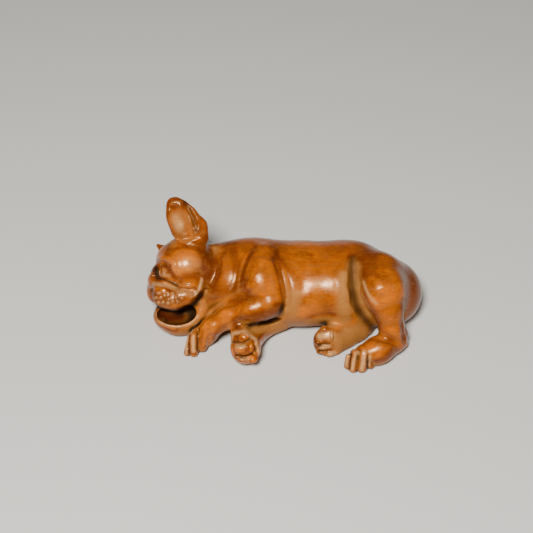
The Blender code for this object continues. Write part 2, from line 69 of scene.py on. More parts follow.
# Where the middle of the figure's footprint lies in the carver's own coordinates, in units, and
# the move from those to the frame
MIDDLE = (0.0, -6.7, 0.0)
TO_FRAME = Matrix.Scale(UNIT, 4) @ Matrix.Translation([-share for share in MIDDLE])

# Step at which the field is felt, the least slope that it is taken to have, distances that count
# as far, room in which a form matters, and a length too small to divide by
FEELER = 0.05
FLATTEST = 0.25
FAR = 8.0
ROOM = 4.0
TINY = 1e-6

# The eye: distance from the figure's middle, shift across and up, and angle of its look down
EYE_DISTANCE = 412
EYE_SHIFT = (-6.4, 15.8)
EYE_SLANT = 43

# How far before the figure's middle a ray from the eye starts, the share of the room ahead that it
# takes in a stride, and its strides
RAY_START = 80.0
RAY_STRIDE = 0.5
RAY_STRIDES = 80

# Grain of the piece's mesh
GRAIN = 0.5

SIDES = (1, -1)

# A mass is an egg's centre and radii, a station the centre and radius of a limb at one place, a
# band the share, width and path of a stain, painted shade or painted highlight, and a pad the
# place where the eye sees it and two radii
Array = np.ndarray
Place = tuple[float, float, float] | Array
Seen = tuple[float, float]
Mass = tuple[Place, Place]
Station = tuple[Place, float]
Stations = tuple[Station, ...]
Bands = tuple[tuple[float, float, tuple[Seen, ...]], ...]
Pads = tuple[tuple[Seen, Seen], ...]
Socket = bpy.types.NodeSocket
Tree = bpy.types.NodeTree


def smooth_min(a: Array, b: Array, blend: float) -> Array:
    """Lower of two distances, rounded over where they meet within the blend width."""
    overlap = np.maximum(blend - np.abs(a - b), 0.0) / blend
    return np.minimum(a, b) - overlap * overlap * blend / 4


def smooth_max(a: Array, b: Array, blend: float) -> Array:
    """Higher of two distances, rounded over where they meet within the blend width."""
    return -smooth_min(-a, -b, blend)


def ease(share: Array) -> Array:
    """Share from 0 to 1, with a soft start and end."""
    share = np.clip(share, 0, 1)
    return share * share * (3 - 2 * share)


def unit_vector(direction: Place) -> Array:
    """Direction as an array of length one."""
    direction = np.asarray(direction, float)
    return direction / np.linalg.norm(direction)


def within(points: Array, low: Array, high: Array) -> Array:
    """Numbers of the points that lie between two corners.

    Args:
        points: places to sort.
        low: the lower corner.
        high: the higher corner.

    Returns:
        Numbers of the points inside, in order.
    """
    inside = np.ones(len(points), bool)
    for axis in range(3):
        inside &= (points[:, axis] > low[axis]) & (points[:, axis] < high[axis])
    return np.flatnonzero(inside)


def smooth_line(points: Array, steps: int = 4) -> Array:
    """Catmull-Rom curve through a few points, as a run of short straight lines.

    Args:
        points: points that the curve passes through.
        steps: short lines between two of them.

    Returns:
        Ends of the short lines, in order.
    """
    padded = np.vstack([2 * points[0] - points[1], points, 2 * points[-1] - points[-2]])
    line = []
    for i in range(1, len(padded) - 2):
        before, start, end, after = padded[i - 1:i + 3]
        for share in np.arange(steps) / steps:
            line.append(0.5 * (2 * start + (end - before) * share
                               + (2 * before - 5 * start + 4 * end - after) * share ** 2
                               + (3 * start - before - 3 * end + after) * share ** 3))
    line.append(points[-1])
    return np.array(line)


def beside(points: Array, start: Array, run: Array) -> tuple[Array, Array]:
    """Share of a straight run at which each point lies beside it, and the point's offset there."""
    share = np.clip((points - start) @ run / (run @ run), 0, 1)
    return share, points - start - share[:, None] * run


class Stance:
    """A part's own place and three axes, from which its forms are set out."""

    def __init__(self, place: Place, first: Place, second: Place, third: Place) -> None:
        """Set the place and the directions of the three axes."""
        self.place = np.asarray(place, float)
        self.axes = np.array([unit_vector(axis) for axis in (first, second, third)])

    def at(self, *coordinates: float) -> Array:
        """Point with these three coordinates along the part's own axes."""
        return self.place + self.along(*coordinates)

    def along(self, *coordinates: float) -> Array:
        """Direction given along the part's own axes."""
        return np.array(coordinates) @ self.axes


def view_stance(place: Place) -> Stance:
    """Axes across and up the view, and towards the eye.

    Args:
        place: where the stance is set.

    Returns:
        Stance with these axes.
    """
    slant = math.radians(EYE_SLANT)
    return Stance(place, (1, 0, 0), (0, math.sin(slant), math.cos(slant)),
                  (0, -math.cos(slant), math.sin(slant)))


WORLD = Stance((0, 0, 0), (1, 0, 0), (0, 1, 0), (0, 0, 1))
VIEW = view_stance((0, 0, 0))


def as_seen(points: Array) -> Array:
    """Where the eye sees each point, across and up its view at the figure's middle.

    Args:
        points: places, in units.

    Returns:
        Two coordinates for each point.
    """
    points = points @ VIEW.axes.T
    nearer = EYE_DISTANCE / (EYE_DISTANCE - points[:, 2:])
    return EYE_SHIFT + (points[:, :2] - EYE_SHIFT) * nearer


class Egg:
    """Ellipsoid with its radii along the axes of a stance."""

    def __init__(self, centre: Place, radii: Place, stance: Stance = WORLD) -> None:
        """Place the egg and work out the box that it fills.

        Args:
            centre: its middle, along the stance's axes.
            radii: its radii, along the same axes.
            stance: where the egg is set out from.
        """
        self.centre = stance.at(*centre)
        self.radii = np.asarray(radii, float)
        self.axes = stance.axes
        reach = np.sqrt((self.radii ** 2) @ self.axes ** 2)
        self.low = self.centre - reach
        self.high = self.centre + reach

    def distance(self, points: Array) -> Array:
        """Distance of each point outside the egg, negative within.

        Args:
            points: places, in units.

        Returns:
            One distance for each point.
        """
        local = (points - self.centre) @ self.axes.T
        near = np.linalg.norm(local / self.radii, axis=1)
        slope = np.linalg.norm(local / self.radii ** 2, axis=1)
        return near * (near - 1) / np.maximum(slope, TINY)


class Limb:
    """Round stations joined into one tapering form, pressed flat along a direction if wanted."""

    def __init__(self, stations: Stations, stance: Stance = WORLD,
                 flat: Place | None = None, thickness: float = 1.0) -> None:
        """Place the stations.

        Args:
            stations: centre and radius of each, in the stance's own axes.
            stance: where the limb is set out from.
            flat: direction in which it is pressed flat, or None.
            thickness: what the pressing leaves of its thickness.
        """
        self.centres = np.array([stance.at(*place) for place, radius in stations])
        self.radii = np.array([radius for place, radius in stations], float)
        self.press = np.eye(3)
        self.flattened = flat is not None
        if self.flattened:
            across = unit_vector(stance.along(*flat))
            self.press = np.eye(3) + (1 / thickness - 1) * np.outer(across, across)
        self.low = (self.centres - self.radii[:, None]).min(axis=0)
        self.high = (self.centres + self.radii[:, None]).max(axis=0)

    def distance(self, points: Array) -> Array:
        """Distance of each point outside the limb, negative within.

        Args:
            points: places, in units.

        Returns:
            One distance for each point.
        """
        points = points @ self.press
        centres = self.centres @ self.press
        result = None
        for i in range(len(centres) - 1):
            share, offset = beside(points, centres[i], centres[i + 1] - centres[i])
            radius = self.radii[i] + share * (self.radii[i + 1] - self.radii[i])
            length = np.maximum(np.linalg.norm(offset, axis=1), TINY)
            away = length - radius
            if self.flattened:
                away *= length / np.linalg.norm(offset @ self.press, axis=1)
            result = away if result is None else smooth_min(result, away, self.radii[i] / 2)
        return result


@dataclass(frozen=True)
class Line:
    """A gouge stroke as drawn: it sinks the surface, or raises a fold if its depth is negative."""

    seen: tuple[Seen, ...]
    width: float
    depth: float
    fade: float = 0.25


Lines = tuple[Line, ...]


class Trace:
    """A line landed on the surface, and how near each point lies to it.

    The gouge is held along the line of sight, so a difference in depth counts for less than
    one across.
    """

    HOLD = np.array([1, 1, 0.4])
    REACH = 2.6

    def __init__(self, line: Line, places: Array) -> None:
        """Take the line's points, given across, up and towards the eye.

        Args:
            line: the stroke as drawn.
            places: its points, landed on the surface.
        """
        self.line = line
        self.path = smooth_line(places) * self.HOLD
        margin = self.REACH * line.width
        self.low = (self.path.min(axis=0) - margin) / self.HOLD
        self.high = (self.path.max(axis=0) + margin) / self.HOLD

    def strength(self, points: Array) -> Array:
        """Share of the line's depth that it has at each point.

        Args:
            points: places across, up and towards the eye.

        Returns:
            One share for each point, from 0 to 1.
        """
        near = points * self.HOLD
        nearest = np.full(len(near), np.inf)
        place = np.zeros(len(near))
        runs = np.diff(self.path, axis=0)
        lengths = np.linalg.norm(runs, axis=1)
        travelled = np.concatenate(([0], np.cumsum(lengths)))
        for i, run in enumerate(runs):
            share, offset = beside(near, self.path[i], run)
            away = np.linalg.norm(offset, axis=1)
            closer = away < nearest
            nearest[closer] = away[closer]
            place[closer] = (travelled[i] + share[closer] * lengths[i]) / travelled[-1]
        ends = ease(np.minimum(place, 1 - place) / self.line.fade)
        return ends * np.exp(-(nearest / self.line.width) ** 2)


class Tint(Enum):
    """What a band does to the wood's colour, painted shade and highlights included, and the name of
    the attribute that holds it.
    """

    PALE = "pale"
    # Painted shade, a deeper brown where hollows begin and along the edges of the limbs
    PAINTED_SHADE = "painted_shade"
    # Wear rubbed pale, with painted highlights and sheen on toes, lips, ear, skull and thigh
    WORN_AND_SHEEN = "worn_and_sheen"
    DEEP = "deep"
    # Painted near-black shadow in close cuts, gaps and grooves
    DARK = "painted_shadow"


@dataclass(frozen=True)
class Stain:
    """A soft-edged band along a line where the colour differs, given as the eye sees it.

    It is full near its path and falls off by a cube, so that it reads as soaked in.
    """

    tint: Tint
    share: float
    width: float
    path: tuple[Seen, ...]

    def strength(self, seen: Array) -> Array:
        """Share of the stain at each point, given across and up the view.

        Args:
            seen: where the eye sees each point.

        Returns:
            One share for each point.
        """
        path = np.array(self.path, float)
        away = np.full(len(seen), np.inf)
        for start, end in zip(path[:-1], path[1:]):
            offset = beside(seen, start, end - start)[1]
            away = np.minimum(away, np.linalg.norm(offset, axis=1))
        return self.share * np.exp(-(away / self.width) ** 3)


class Work(Enum):
    """What a step of the carving does with its form."""

    ADD = "add"
    CUT = "cut"


@dataclass
class Step:
    """One form, added or cut, with the width over which it melts into the rest."""

    form: Egg | Limb
    blend: float
    work: Work


@dataclass
class Carving:
    """The figure as masses added and hollows cut, in order, and strokes drawn over them."""

    steps: list[Step] = field(default_factory=list)
    lines: list[Line] = field(default_factory=list)
    traces: list[Trace] = field(default_factory=list)

    def add(self, form: Egg | Limb, blend: float) -> None:
        """Add a mass, melted into the rest over the blend width."""
        self.steps.append(Step(form, blend, Work.ADD))

    def cut(self, form: Egg | Limb, blend: float) -> None:
        """Cut a hollow, its rim rounded over the blend width."""
        self.steps.append(Step(form, blend, Work.CUT))

    def draw(self, *lines: Line) -> None:
        """Draw gouge strokes over the masses."""
        self.lines.extend(lines)

    def land(self, seen: list[Seen]) -> Array:
        """Points of the surface, as it stands so far, that the eye sees across and up its view.

        Args:
            seen: places across and up the view.

        Returns:
            One point of the surface for each of them.
        """
        eye = VIEW.at(*EYE_SHIFT, EYE_DISTANCE)
        rays = np.array([VIEW.at(across, up, 0) for across, up in seen]) - eye
        rays /= np.linalg.norm(rays, axis=1, keepdims=True)
        reach = np.full(len(seen), EYE_DISTANCE - RAY_START)
        for _ in range(RAY_STRIDES):
            reach += RAY_STRIDE * self.masses(eye + rays * reach[:, None])
        return eye + rays * reach[:, None]

    def land_lines(self) -> None:
        """Place all the strokes drawn on the surface of the masses."""
        places = self.land([point for line in self.lines for point in line.seen])
        places = places @ VIEW.axes.T
        for line in self.lines:
            self.traces.append(Trace(line, places[:len(line.seen)]))
            places = places[len(line.seen):]

    def masses(self, points: Array) -> Array:
        """Distance of each point outside the masses, before any strokes.

        Args:
            points: places, in units.

        Returns:
            One distance for each point, negative within.
        """
        result = np.full(len(points), FAR)
        for step in self.steps:
            margin = step.blend + ROOM
            near = within(points, step.form.low - margin, step.form.high + margin)
            there = step.form.distance(points[near])
            if step.work is Work.ADD:
                result[near] = smooth_min(result[near], there, step.blend)
            else:
                result[near] = smooth_max(result[near], -there, step.blend)
        return np.maximum(np.minimum(result, FAR), -points[:, 2])

    def distance(self, points: Array) -> Array:
        """Distance of each point outside the figure, which is sanded flat where it rests.

        Args:
            points: places, in units.

        Returns:
            One distance for each point, negative within.
        """
        result = self.masses(points)
        seen = points @ VIEW.axes.T
        for trace in self.traces:
            near = within(seen, trace.low, trace.high)
            if len(near):
                result[near] += trace.line.depth * trace.strength(seen[near])
        return np.maximum(result, -points[:, 2])

    def feel(self, points: Array) -> tuple[Array, Array]:
        """Feel the surface at the four corners of a small tetrahedron about each point.

        Args:
            points: places, in units.

        Returns:
            Distance of each point outside the surface, and the direction out of it there.
        """
        corners = FEELER * np.array([(1, 1, 1), (1, -1, -1), (-1, 1, -1), (-1, -1, 1)])
        distance = np.zeros(len(points))
        slope = np.zeros_like(points)
        for corner in corners:
            felt = self.distance(points + corner)
            distance += felt / 4
            slope += felt[:, None] * corner / (4 * FEELER ** 2)
        steepness = np.maximum(np.linalg.norm(slope, axis=1), FLATTEST)
        return distance / steepness, slope / steepness[:, None]


@dataclass
class Trunk:
    """Chest, waist, hips and rump, lying on their side, with the thick short neck."""

    chest: Mass = ((-12, 1, 13.2), (17, 16.4, 14.2))
    barrel: Mass = ((6, 1, 12.6), (26, 16.4, 14.5))
    hips: Mass = ((24, 0.5, 13), (15, 16.2, 14.4))
    rump: Mass = ((37.2, -2, 11), (11.6, 12.4, 11.3))
    neck: Stations = (((-12, 2, 14), 13), ((-24, 1.5, 15), 12.2))
    tail: Stations = (((44, 6, 11), 2.6), ((45.4, 7.5, 7.5), 1.8))
    skin: Lines = (
        Line(((-27.6, 25.8), (-25.8, 21.5), (-24.7, 17.1), (-25.5, 12.7), (-27.6, 9.1), (-29.5, 4.7)),
             1.5, 1.6),
        Line(((-19.3, 25.1), (-18.2, 19.6), (-17.1, 14.5), (-18.2, 9.5), (-21.1, 4.4)), 1.4, 0.45),
        Line(((-10.9, 23), (-13.4, 19.4), (-15.3, 14.5), (-16, 9.8), (-15.2, 7)), 0.6, 0.8),
        Line(((-13.5, 12), (-14.5, 9.5), (-16.4, 6.9)), 0.9, 0.5, 0.1),
        Line(((43.9, 1), (43.7, -3), (44.4, -8)), 0.8, 0.8),
        Line(((6.9, 18.9), (7.3, 11.6), (6.2, 4.4)), 2.5, 0.4),
        Line(((17.5, 14.2), (19.6, 9.5), (18.9, 5.5), (16.4, 3.3)), 1.5, -0.2))

    def carve(self, dog: Carving) -> None:
        """Block out the trunk and draw its folds.

        Args:
            dog: the carving that the forms go into.
        """
        dog.add(Egg(*self.barrel), 4)
        for mass in (self.chest, self.hips, self.rump):
            dog.add(Egg(*mass), 6)
        dog.add(Limb(self.neck), 4)
        dog.add(Limb(self.tail), 1.5)
        dog.draw(*self.skin)


@dataclass
class Head:
    """Round skull, full cheeks and short muzzle, tipped back and turned towards the viewer."""

    place: Place = (-34.7, 1.5, 20.5)
    roll: float = 33
    turn: float = 20
    skull: Mass = ((-0.5, 0, 0), (10.6, 10.8, 10.6))
    cheek: Mass = ((-3, 4.5, -6), (7.5, 6.2, 7))
    flew: Mass = ((8.8, 4, -8.2), (4.4, 4.2, 5.2))
    muzzle: Mass = ((8, 0, -6), (4.4, 5, 5))
    under_nose: Mass = ((9.9, -1, -4.4), (3.6, 3.6, 3.2))
    far_brow: Mass = ((6.8, -3.2, 2.2), (2.3, 3.2, 3.6))
    nose: Mass = ((9.4, 0, -1.4), (3, 3.4, 2.6))
    nostril: Mass = ((12.2, 1.9, -2.3), (1.1, 0.8, 0.9))
    lip: Stations = (
        ((9.4, 4.4, -9.9), 3.7), ((6, 6.4, -10.3), 3.8), ((2.2, 7.8, -8.9), 3.3),
        ((-1.2, 8.3, -7.8), 2))
    jaw: Stations = (
        ((7.3, 0, -17.4), 4.8), ((3.6, 0, -18.9), 5.2), ((-1.5, 0, -17.8), 6.5),
        ((-6.5, 0, -12.7), 8.5))
    mouth: Mass = ((3.6, 2.2, -16.6), (7.6, 5.4, 3.8))
    gap: Stations = (
        ((6, 5, -16.4), 2.3), ((1.5, 7, -14.6), 2.8), ((-2.6, 8.4, -11), 2), ((-3.8, 9.6, -8.2), 1))
    tongue: Stations = (((7.4, 1.4, -17.9), 2.2), ((4, 1.8, -17.6), 2.8), ((-0.5, 2, -17.2), 2.6))
    folds: Lines = (
        Line(((-46.2, 17.8), (-44, 19.1), (-41.8, 18.5), (-40, 16.7), (-38.9, 14.2)), 1.1, -0.9),
        Line(((-44.9, 15.3), (-43.3, 15.2), (-41.5, 14.2)), 1.5, 1.6, 0.1),
        Line(((-43.4, 13.8), (-42.9, 15.3), (-42.2, 16.4)), 0.45, -0.6),
        Line(((-42, 15.8), (-41.2, 14.2), (-40.2, 12.2)), 0.4, 0.6),
        Line(((-45.1, 12.7), (-42.5, 12.9), (-40, 11.6), (-36.4, 10.4)), 0.9, 0.6),
        Line(((-45.8, 11.3), (-43.3, 11.3), (-40.7, 10.4), (-38.2, 8.9), (-34.5, 8.5), (-31.3, 8.2)),
             0.7, -0.7),
        Line(((-46.4, 10.9), (-44.4, 10.1), (-42.2, 9.2), (-39.6, 8.2), (-36.5, 7.5), (-33.5, 7.4),
              (-31, 8.6)), 0.55, 1),
        Line(((-47.3, 8.7), (-44, 8.7), (-40.7, 8.2), (-37.1, 7.5), (-33.8, 7.1)), 0.8, 0.35),
        Line(((-30.6, 12.8), (-29.6, 10.4), (-30.2, 7.8), (-32.2, 5.4), (-35.3, 3.2)), 0.5, -0.6),
        Line(((-47.7, 10.9), (-48, 7.3), (-47.8, 2.2)), 0.5, 0.9, 0.1))

    @property
    def stance(self) -> Stance:
        """The head's own axes: forward to the nose, left towards the viewer, up to the crown.

        Returns:
            Stance from which the head's forms are set out.
        """
        roll, turn = math.radians(self.roll), math.radians(self.turn)
        level_left = np.array([0, -math.cos(roll), math.sin(roll)])
        level_forward = np.array([-1.0, 0, 0])
        forward = math.cos(turn) * level_forward + math.sin(turn) * level_left
        left = math.cos(turn) * level_left - math.sin(turn) * level_forward
        return Stance(self.place, forward, left, (0, math.sin(roll), math.cos(roll)))

    def carve(self, dog: Carving) -> None:
        """Block out the skull, cheeks, muzzle and jaw, and draw the folds of the face.

        Args:
            dog: the carving that the forms go into.
        """
        dog.add(self.lump(self.skull), 1.5)
        for side in SIDES:
            dog.add(self.lump(self.cheek, side), 4)
            dog.add(self.lump(self.flew, side), 2)
        dog.add(self.lump(self.muzzle), 2)
        dog.add(self.lump(self.under_nose), 2)
        dog.add(self.lump(self.far_brow), 3)
        dog.add(self.lump(self.nose), 1.5)
        for side in SIDES:
            lip = tuple(((ahead, left * side, up), radius) for (ahead, left, up), radius in self.lip)
            dog.add(Limb(lip, self.stance, (0, 1, 0), 0.85), 0.8)
        self.carve_mouth(dog)
        for side in SIDES:
            dog.cut(self.lump(self.nostril, side), 0.4)
        dog.draw(*self.folds)

    def lump(self, mass: Mass, side: int = 1) -> Egg:
        """Egg of the head, on its far side where side is -1."""
        (ahead, left, up), radii = mass
        return Egg((ahead, left * side, up), radii, self.stance)

    def carve_mouth(self, dog: Carving) -> None:
        """Drop the lower jaw, hollow the mouth under the near lip, and lay the tongue in it.

        Args:
            dog: the carving that the forms go into.
        """
        dog.add(Limb(self.jaw, self.stance), 1)
        dog.cut(self.lump(self.mouth), 1.2)
        dog.cut(Limb(self.gap, self.stance), 1.2)
        dog.add(Limb(self.tongue, self.stance, (0, 0, 1), 0.6), 1.2)


@dataclass
class Ears:
    """The upper ear stands as a broad hollowed leaf with a wide outer flap; the lower is laid out."""

    leaf: Stations = (
        ((-1, 0.8, 0), 4.2), ((3.6, 0.5, 0), 4.5), ((8.4, 0.3, 0), 4.3), ((12.3, 0, 0), 2.9))
    flap: Stations = (
        ((-1, 3.7, 0), 3.7), ((2.5, 4.3, 0), 3.6), ((6.8, 3.3, 0), 2.8), ((10.3, 2, 0), 2.2))
    bowl: Stations = (((2.2, -0.2, 1.7), 3.1), ((7.4, -0.3, 1.7), 2.8), ((11.2, -0.3, 1.5), 1.5))
    lower: Stations = (((0, -8, 1), 3.2), ((4.2, -10.2, 3.6), 2.7), ((6.9, -11.5, 5.8), 1))
    lower_faces: Place = (0.45, -0.3, -0.83)
    root: Place = (0.8, 4.4, 10.6)
    rises: Place = (0.32, -0.1, 0.94)
    opens: Place = (0.3, 0.95, 0)
    folds: Lines = (
        Line(((-37.1, 39.4), (-35.3, 37), (-33.6, 34), (-32.4, 30.8), (-31.6, 27.8)), 0.9, 1.3),
        Line(((-30.4, 32.8), (-29.8, 30.2), (-29.9, 27.6)), 1, 0.6),
        Line(((-40.7, 27.6), (-38.5, 25.9), (-34.9, 26), (-31.6, 26.7), (-29.1, 26.5)), 0.6, 0.7))

    def carve(self, dog: Carving, head: Stance) -> None:
        """Raise both ears on the head and draw the folds of the upper one.

        Args:
            dog: the carving that the forms go into.
            head: the head's own stance.
        """
        rises = head.along(*self.rises)
        opens = head.along(*self.opens)
        ear = Stance(head.at(*self.root), rises, np.cross(rises, opens), opens)
        dog.add(Limb(self.leaf, ear, (0, 0, 1), 0.34), 1.2)
        dog.add(Limb(self.flap, ear, (0, 0, 1), 0.4), 2)
        dog.cut(Limb(self.bowl, ear, (0, 0, 1), 0.5), 0.6)
        dog.add(Limb(self.lower, head, self.lower_faces, 0.7), 1.2)
        dog.draw(*self.folds)


PAD_THICKNESS = 1.6
PAD_SUNK = 0.3


def add_pads(dog: Carving, pads: Pads) -> None:
    """Set pads on the sole that shows.

    Args:
        dog: the carving that the forms go into.
        pads: the pads, as the eye sees them.
    """
    places = dog.land([seen for seen, radii in pads])
    for place, (seen, radii) in zip(places, pads):
        dog.add(Egg((0, 0, -PAD_SUNK * PAD_THICKNESS), (*radii, PAD_THICKNESS), view_stance(place)),
                0.3)


@dataclass
class Forelegs:
    """Upper leg folded at the elbow, its paw on the table; the lower one shows its sole.

    Each toe is its knuckle and its tip. The palm and heel are set out from the sole's own place.
    """

    shoulder: Stations = (((-8, 1, 22), 6.8), ((-8.3, -7, 21.3), 7.4), ((-5.2, -13.5, 18), 5.3))
    forearm: Stations = (
        ((-5.2, -13.9, 17.4), 5.2), ((-11, -14.8, 15.4), 5), ((-19, -14.8, 12), 4.1),
        ((-25.3, -16.4, 8.6), 3.5), ((-27.4, -17.4, 7.2), 2.9))
    toes: tuple[Stations, ...] = (
        (((-32.6, -19.8, 6.6), 1.3), ((-34.1, -22.2, 1.2), 1.2)),
        (((-31.2, -19.8, 7.2), 1.8), ((-31.8, -22.4, 1.6), 1.6)),
        (((-27.6, -18, 8.4), 2.2), ((-29, -20.4, 2.6), 2)))
    ball: Stations = (((-26.2, -17, 5.2), 3.1), ((-27.2, -17.2, 2.6), 2.4))
    lower: Stations = (((-3.3, -8.5, 5.5), 6), ((-9.4, -13.4, 5), 4.6), ((-13.4, -23, 6.4), 4.8))
    elbow: Stations = (
        ((-0.2, -15.2, 16.2), 0.7), ((-1.2, -14.3, 12.6), 1.1), ((-3.6, -14, 9.9), 1.1),
        ((-6.4, -14.8, 9.4), 1), ((-9.2, -17, 10.4), 0.5))
    paw: Mass = ((-30, -18.2, 4.2), (3.6, 3.2, 4.3))
    sole: Place = (-13.6, -25, 6.8)
    palm: Mass = ((0, 0, 0), (5.3, 5.7, 4.6))
    heel: Mass = ((-2.2, 4.8, -1.2), (3, 3.4, 3))
    pads: Pads = (
        ((-14.5, -10), (2.1, 1.8)), ((-15.6, -14), (2.4, 1.9)), ((-12, -13.6), (1.8, 2)),
        ((-15, -18), (1.9, 1.1)), ((-11.5, -18), (1.9, 1.4)), ((-9.8, -15), (1.1, 2.1)))
    recesses: Lines = (
        Line(((-4.4, 20.4), (-1.5, 14.9), (0.4, 9.1), (1.1, 3.3), (0, -1.8)), 1.2, 1.3),
        Line(((0, 0.4), (-1.1, -2.5), (-4.7, -4), (-8.7, -4.9), (-12.7, -5.6)), 0.8, 1.5),
        Line(((-10.2, 7.3), (-14.9, 6.5), (-19.3, 4.7), (-23.6, 2.2), (-27.3, -0.7), (-30.5, -5.8)),
             0.8, 0.9))
    grooves: Lines = (
        Line(((-34.2, -9.8), (-34.7, -13.1), (-34.5, -16.7)), 0.6, 1.1, 0.1),
        Line(((-30.9, -6.5), (-31.7, -10.5), (-31.6, -14.9)), 0.55, 1.2, 0.1),
        Line(((-26.6, -8), (-27.1, -11), (-28.3, -13.7)), 0.5, 0.6),
        Line(((-19.3, -12), (-16.7, -12.6), (-13.8, -11.7), (-12, -10.4)), 0.5, 1.4),
        Line(((-17.8, -16.4), (-14.5, -17.2), (-11.3, -16.4)), 0.5, 1.4),
        Line(((-11.1, -11.3), (-10.5, -14.2), (-11.6, -16.4)), 0.45, 1))

    def carve(self, dog: Carving) -> None:
        """Block out both forelegs and draw their recesses and toes.

        Args:
            dog: the carving that the forms go into.
        """
        dog.add(Limb(self.shoulder), 1.6)
        dog.add(Limb(self.forearm), 1)
        dog.add(Egg(*self.paw), 1.5)
        dog.add(Limb(self.ball), 1.2)
        for toe in self.toes:
            dog.add(Limb(toe), 0.4)
        dog.add(Limb(self.lower), 2)
        sole = view_stance(self.sole)
        dog.add(Egg(*self.palm, sole), 1)
        dog.add(Egg(*self.heel, sole), 1.5)
        dog.cut(Limb(self.elbow), 0.4)
        add_pads(dog, self.pads)
        dog.draw(*self.recesses, *self.grooves)


@dataclass
class HindLegs:
    """Upper leg with its heavy thigh and long foot; the lower one is a broad flat foot."""

    thigh: Stations = (((33, -3.1, 20), 8.1), ((33.1, -10.6, 20), 7.8), ((35.4, -15.9, 16), 5.2))
    shin: Stations = (((35.6, -15.9, 15.4), 5.1), ((36.4, -19, 10.6), 4.2), ((37.4, -19.8, 6), 4.6))
    foot: Stations = (((37.4, -19.8, 5), 4.8), ((32.5, -24, 4.9), 4.6), ((27.4, -26, 4.5), 3.7))
    tendon: Stations = (
        ((40.6, -16.8, 10.6), 1.5), ((41.2, -18.2, 6.4), 1.6), ((41.4, -18.8, 2.4), 1.9))
    toes: tuple[Stations, ...] = (
        (((22.1, -26.9, 3.9), 1.4), ((21.6, -28.3, 1.4), 1.4)),
        (((23.9, -27, 5.8), 1.8), ((23.4, -29.4, 1.5), 1.8)),
        (((26.9, -26.8, 5.9), 2), ((26.3, -29.2, 1.5), 2)),
        (((29.7, -26, 5), 1.5), ((29.3, -28.2, 1.6), 1.5)))
    outer_edge: Mass = ((31.4, -26, 2.6), (3.2, 2.6, 2.6))
    lower: Stations = (((23.4, -2.9, 8), 8), ((23.4, -8.4, 6), 5.6))
    lower_foot: Stations = (
        ((15.6, -19.4, 4), 5.8), ((20.5, -15.8, 3.8), 5), ((25, -13.6, 3.4), 4.2),
        ((28.6, -12.2, 2.6), 2.7))
    sole_faces: Place = (0, -0.894, 0.447)
    pads: Pads = (
        ((14.9, -7.1), (1.8, 1.3)), ((12.4, -11.8), (1.5, 1)), ((14.5, -13.8), (2.1, 1.1)),
        ((13.5, -15.3), (1.8, 0.8)), ((16.6, -15.9), (1.8, 1.2)), ((17.3, -9.5), (0.7, 2)))
    recess: Stations = (
        ((23.6, -1.5, 28.2), 1), ((23.6, -6, 26.3), 1.7), ((23.9, -10.8, 22.8), 2.1),
        ((25.4, -14, 18.2), 2.6), ((28.2, -15.8, 13.2), 3), ((31, -17, 8.4), 3), ((32.4, -17.6, 4), 2))
    grooves: Lines = (
        Line(((42.5, -3.3), (43.1, -8), (43.8, -13.5)), 0.6, 0.9),
        Line(((24.5, -15.3), (23.7, -18.5), (23.8, -21.5)), 0.5, 1.1, 0.15),
        Line(((27.3, -14.9), (26.5, -18.5), (26.4, -22.2)), 0.5, 1.1, 0.15),
        Line(((30.4, -14.9), (30.3, -18.5), (30.5, -21.6)), 0.5, 1.1, 0.15),
        Line(((32.4, -16), (31.8, -18.9), (31.8, -21.5)), 0.4, 0.7, 0.15))

    def carve(self, dog: Carving) -> None:
        """Block out both hind legs, cut the recess at the groin and draw the toes.

        Args:
            dog: the carving that the forms go into.
        """
        dog.add(Limb(self.thigh), 4)
        dog.add(Limb(self.shin), 1.6)
        dog.add(Limb(self.foot), 1.4)
        dog.add(Limb(self.tendon), 1)
        for toe in self.toes:
            dog.add(Limb(toe), 0.35)
        dog.add(Egg(*self.outer_edge), 1)
        dog.add(Limb(self.lower), 3)
        dog.add(Limb(self.lower_foot, WORLD, self.sole_faces, 0.55), 2.5)
        add_pads(dog, self.pads)
        dog.cut(Limb(self.recess), 1.6)
        dog.draw(*self.grooves)


@dataclass
class Whiskers:
    """Small round dots raised on the upper lip in staggered rows."""

    rows: tuple[tuple[Seen, ...], ...] = (
        ((-45.7, 6.1), (-43.3, 5.4), (-40.7, 6)),
        ((-46.7, 4.4), (-45, 4.4), (-42, 3.9), (-39.2, 4.6), (-37.4, 4.4)),
        ((-45.8, 2.6), (-44.1, 2.7), (-42.3, 2.5), (-40.5, 3.1), (-38.6, 3)))
    radius: float = 0.7
    height: float = 0.6
    # Width of the painted highlight with wear on each dot's top, against the dot's radius
    worn_and_sheen: float = 0.7

    def carve(self, dog: Carving) -> None:
        """Set the dots on the lip.

        Args:
            dog: the carving that the forms go into.
        """
        seen = [dot for row in self.rows for dot in row]
        for place in dog.land(seen):
            dog.add(Egg((0, 0, 0), (self.radius, self.radius, self.height), view_stance(place)), 0.15)

    def stains(self) -> tuple[Stain, ...]:
        """Painted highlights with wear on the tops of the dots, each a band much shorter than the dot.

        Returns:
            One stain for each dot.
        """
        half = self.radius / 4
        return tuple(Stain(Tint.WORN_AND_SHEEN, 1.0, self.radius * self.worn_and_sheen,
                           ((across - half, up), (across + half, up)))
                     for row in self.rows for across, up in row)


# Bands of stain, painted shade and painted highlight, a constant for each tint, each band with its
# share, width and path

# The belly beside the elbow, before the thigh and along its bottom, and the lower legs
PALE: Bands = (
    (0.75, 2.8, ((3.4, 5), (2.4, -2.5))),
    (0.8, 2.6, ((21.8, 12), (21.6, 4), (22.2, -3))),
    (0.9, 2.4, ((25, 16), (25.8, 6), (29.5, -2))),
    (0.4, 1.8, ((1, -4), (11, -4.6), (20, -4.4))),
    (0.8, 3.5, ((20, -11), (27, -8))),
    (0.8, 2, ((-12, -6), (-6, -7), (0, -5.5))))
